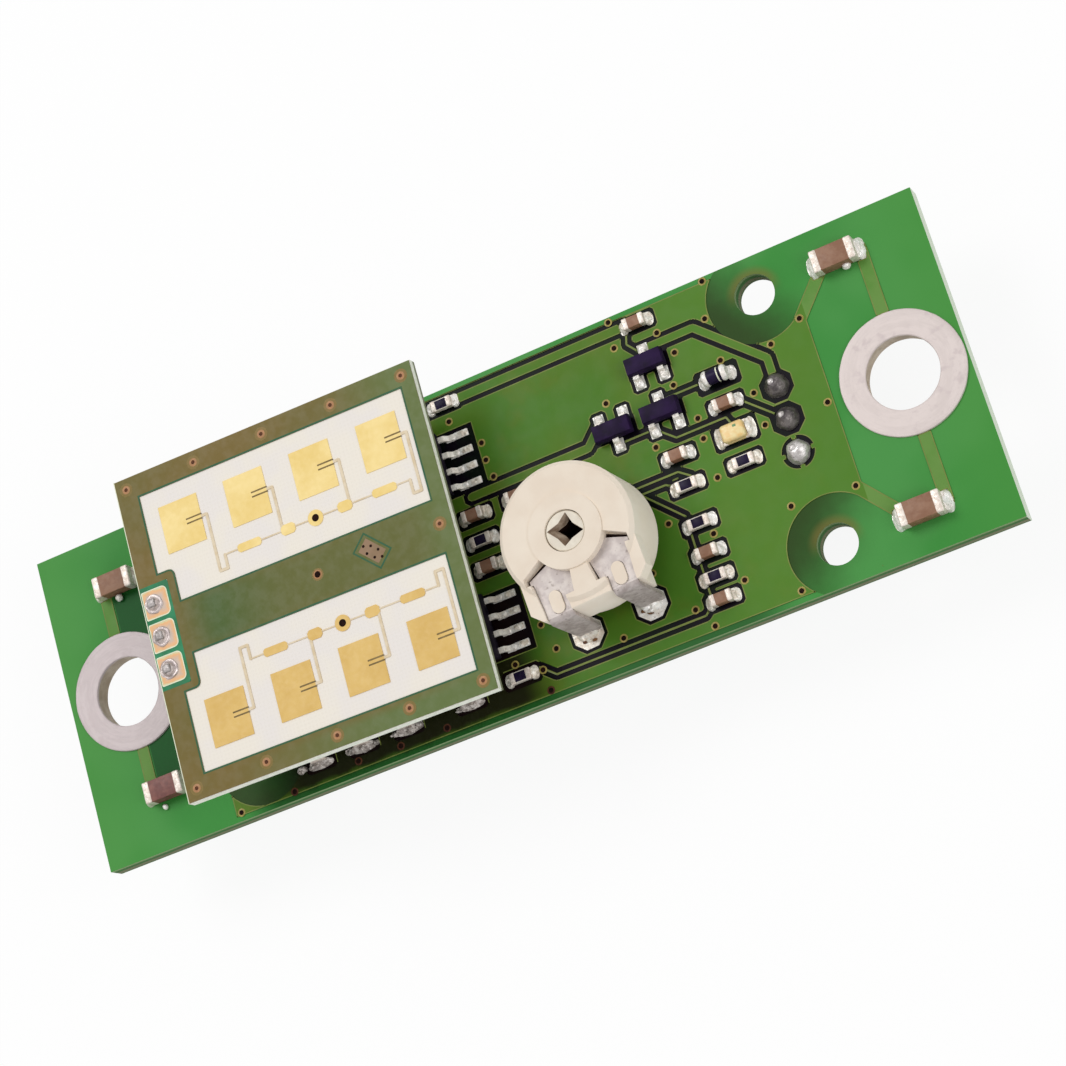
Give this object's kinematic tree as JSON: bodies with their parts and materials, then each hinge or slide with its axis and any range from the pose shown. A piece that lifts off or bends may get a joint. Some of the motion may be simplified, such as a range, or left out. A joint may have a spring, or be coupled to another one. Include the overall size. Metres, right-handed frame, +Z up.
{
  "type": "radar motion sensor module",
  "caption": "Circuit board with a raised square patch-antenna radar module, a round trimmer, surface-mounted parts and tinned mounting rings.",
  "frame": {"origin": "midway between the two mounting rings, on the underside of the board", "axes": "+Z up out of the board's component side, +X along the board away from the antenna module, +Y across the board"},
  "size_m": [0.073, 0.0258, 0.0169],
  "materials": {
    "laminate": "green solder mask over glass laminate",
    "masked_copper": "green solder mask over copper",
    "tinned_ring": "dull tin",
    "antenna_laminate": "cream, faint weave",
    "antenna_mask": "olive mask over copper",
    "gold_plating": "matt gold",
    "tinplate": "bright tin",
    "moulded_black": "dark moulding compound",
    "tinned_pin": "tinned",
    "solder": "solder, bright to satin",
    "trimmer_plastic": "cream moulding",
    "rotor_plastic": "pale moulding",
    "carbon_track": "carbon film on laminate",
    "gold_pin": "gold flash",
    "header_plastic": "black moulding",
    "capacitor_ceramic": "brown ceramic with tinned ends",
    "resistor_glaze": "dark glaze with tinned ends",
    "diode_glass": "dark body with tinned ends",
    "led_resin": "pale yellow resin"
  },
  "bodies": {
    "module": {"main_board": "laminate", "top_copper": "masked_copper", "mounting_ring_left": "tinned_ring", "mounting_ring_right": "tinned_ring", "antenna_substrate": "antenna_laminate", "antenna_ground": "antenna_mask", "antenna_patches": "gold_plating", "antenna_pin_pads": "gold_plating", "shield_can": "tinplate", "oscillator_transistor": "moulded_black", "mixer_diode": "moulded_black", "module_pins": "tinned_pin", "module_pin_solder": "solder", "trimmer_housing": "trimmer_plastic", "trimmer_track": "carbon_track", "trimmer_collector": "tinplate", "trimmer_terminal_left": "tinplate", "trimmer_terminal_right": "tinplate", "header_pins": "gold_pin", "header_spacer": "header_plastic", "header_solder": "solder", "underside_solder": "solder", "surface_solder": "solder", "edge_capacitor_right_upper": "capacitor_ceramic", "edge_capacitor_right_lower": "capacitor_ceramic", "edge_capacitor_left_upper": "capacitor_ceramic", "edge_capacitor_left_lower": "capacitor_ceramic", "supply_capacitor": "capacitor_ceramic", "bypass_capacitor": "capacitor_ceramic", "level_resistor": "resistor_glaze", "trimmer_resistor": "resistor_glaze", "timing_capacitor": "capacitor_ceramic", "timing_resistor": "resistor_glaze", "output_capacitor": "capacitor_ceramic", "signal_diode": "diode_glass", "header_capacitor": "capacitor_ceramic", "indicator_led": "led_resin", "led_resistor": "resistor_glaze", "input_resistor": "resistor_glaze", "coupling_capacitor_upper": "capacitor_ceramic", "gain_resistor": "resistor_glaze", "coupling_capacitor_lower": "capacitor_ceramic", "bias_resistor": "resistor_glaze", "filter_capacitor": "capacitor_ceramic", "low_edge_chip_1": "capacitor_ceramic", "low_edge_chip_2": "capacitor_ceramic", "low_edge_chip_3": "capacitor_ceramic", "low_edge_chip_4": "capacitor_ceramic", "supply_transistor": "moulded_black", "output_transistor": "moulded_black", "switch_transistor": "moulded_black", "amplifier_chip_upper": "moulded_black", "amplifier_chip_lower": "moulded_black"},
    "rotor": {"trimmer_rotor": "rotor_plastic", "trimmer_wiper": "tinplate"}
  },
  "joints": [
    {"name": "trimmer_turn", "type": "hinge", "parent": "module", "child": "rotor", "pos_m": [0.0071, -0.0034, 0.0081], "axis": [0, 0, 1], "range_deg": [-117.5, 117.5]}
  ]
}
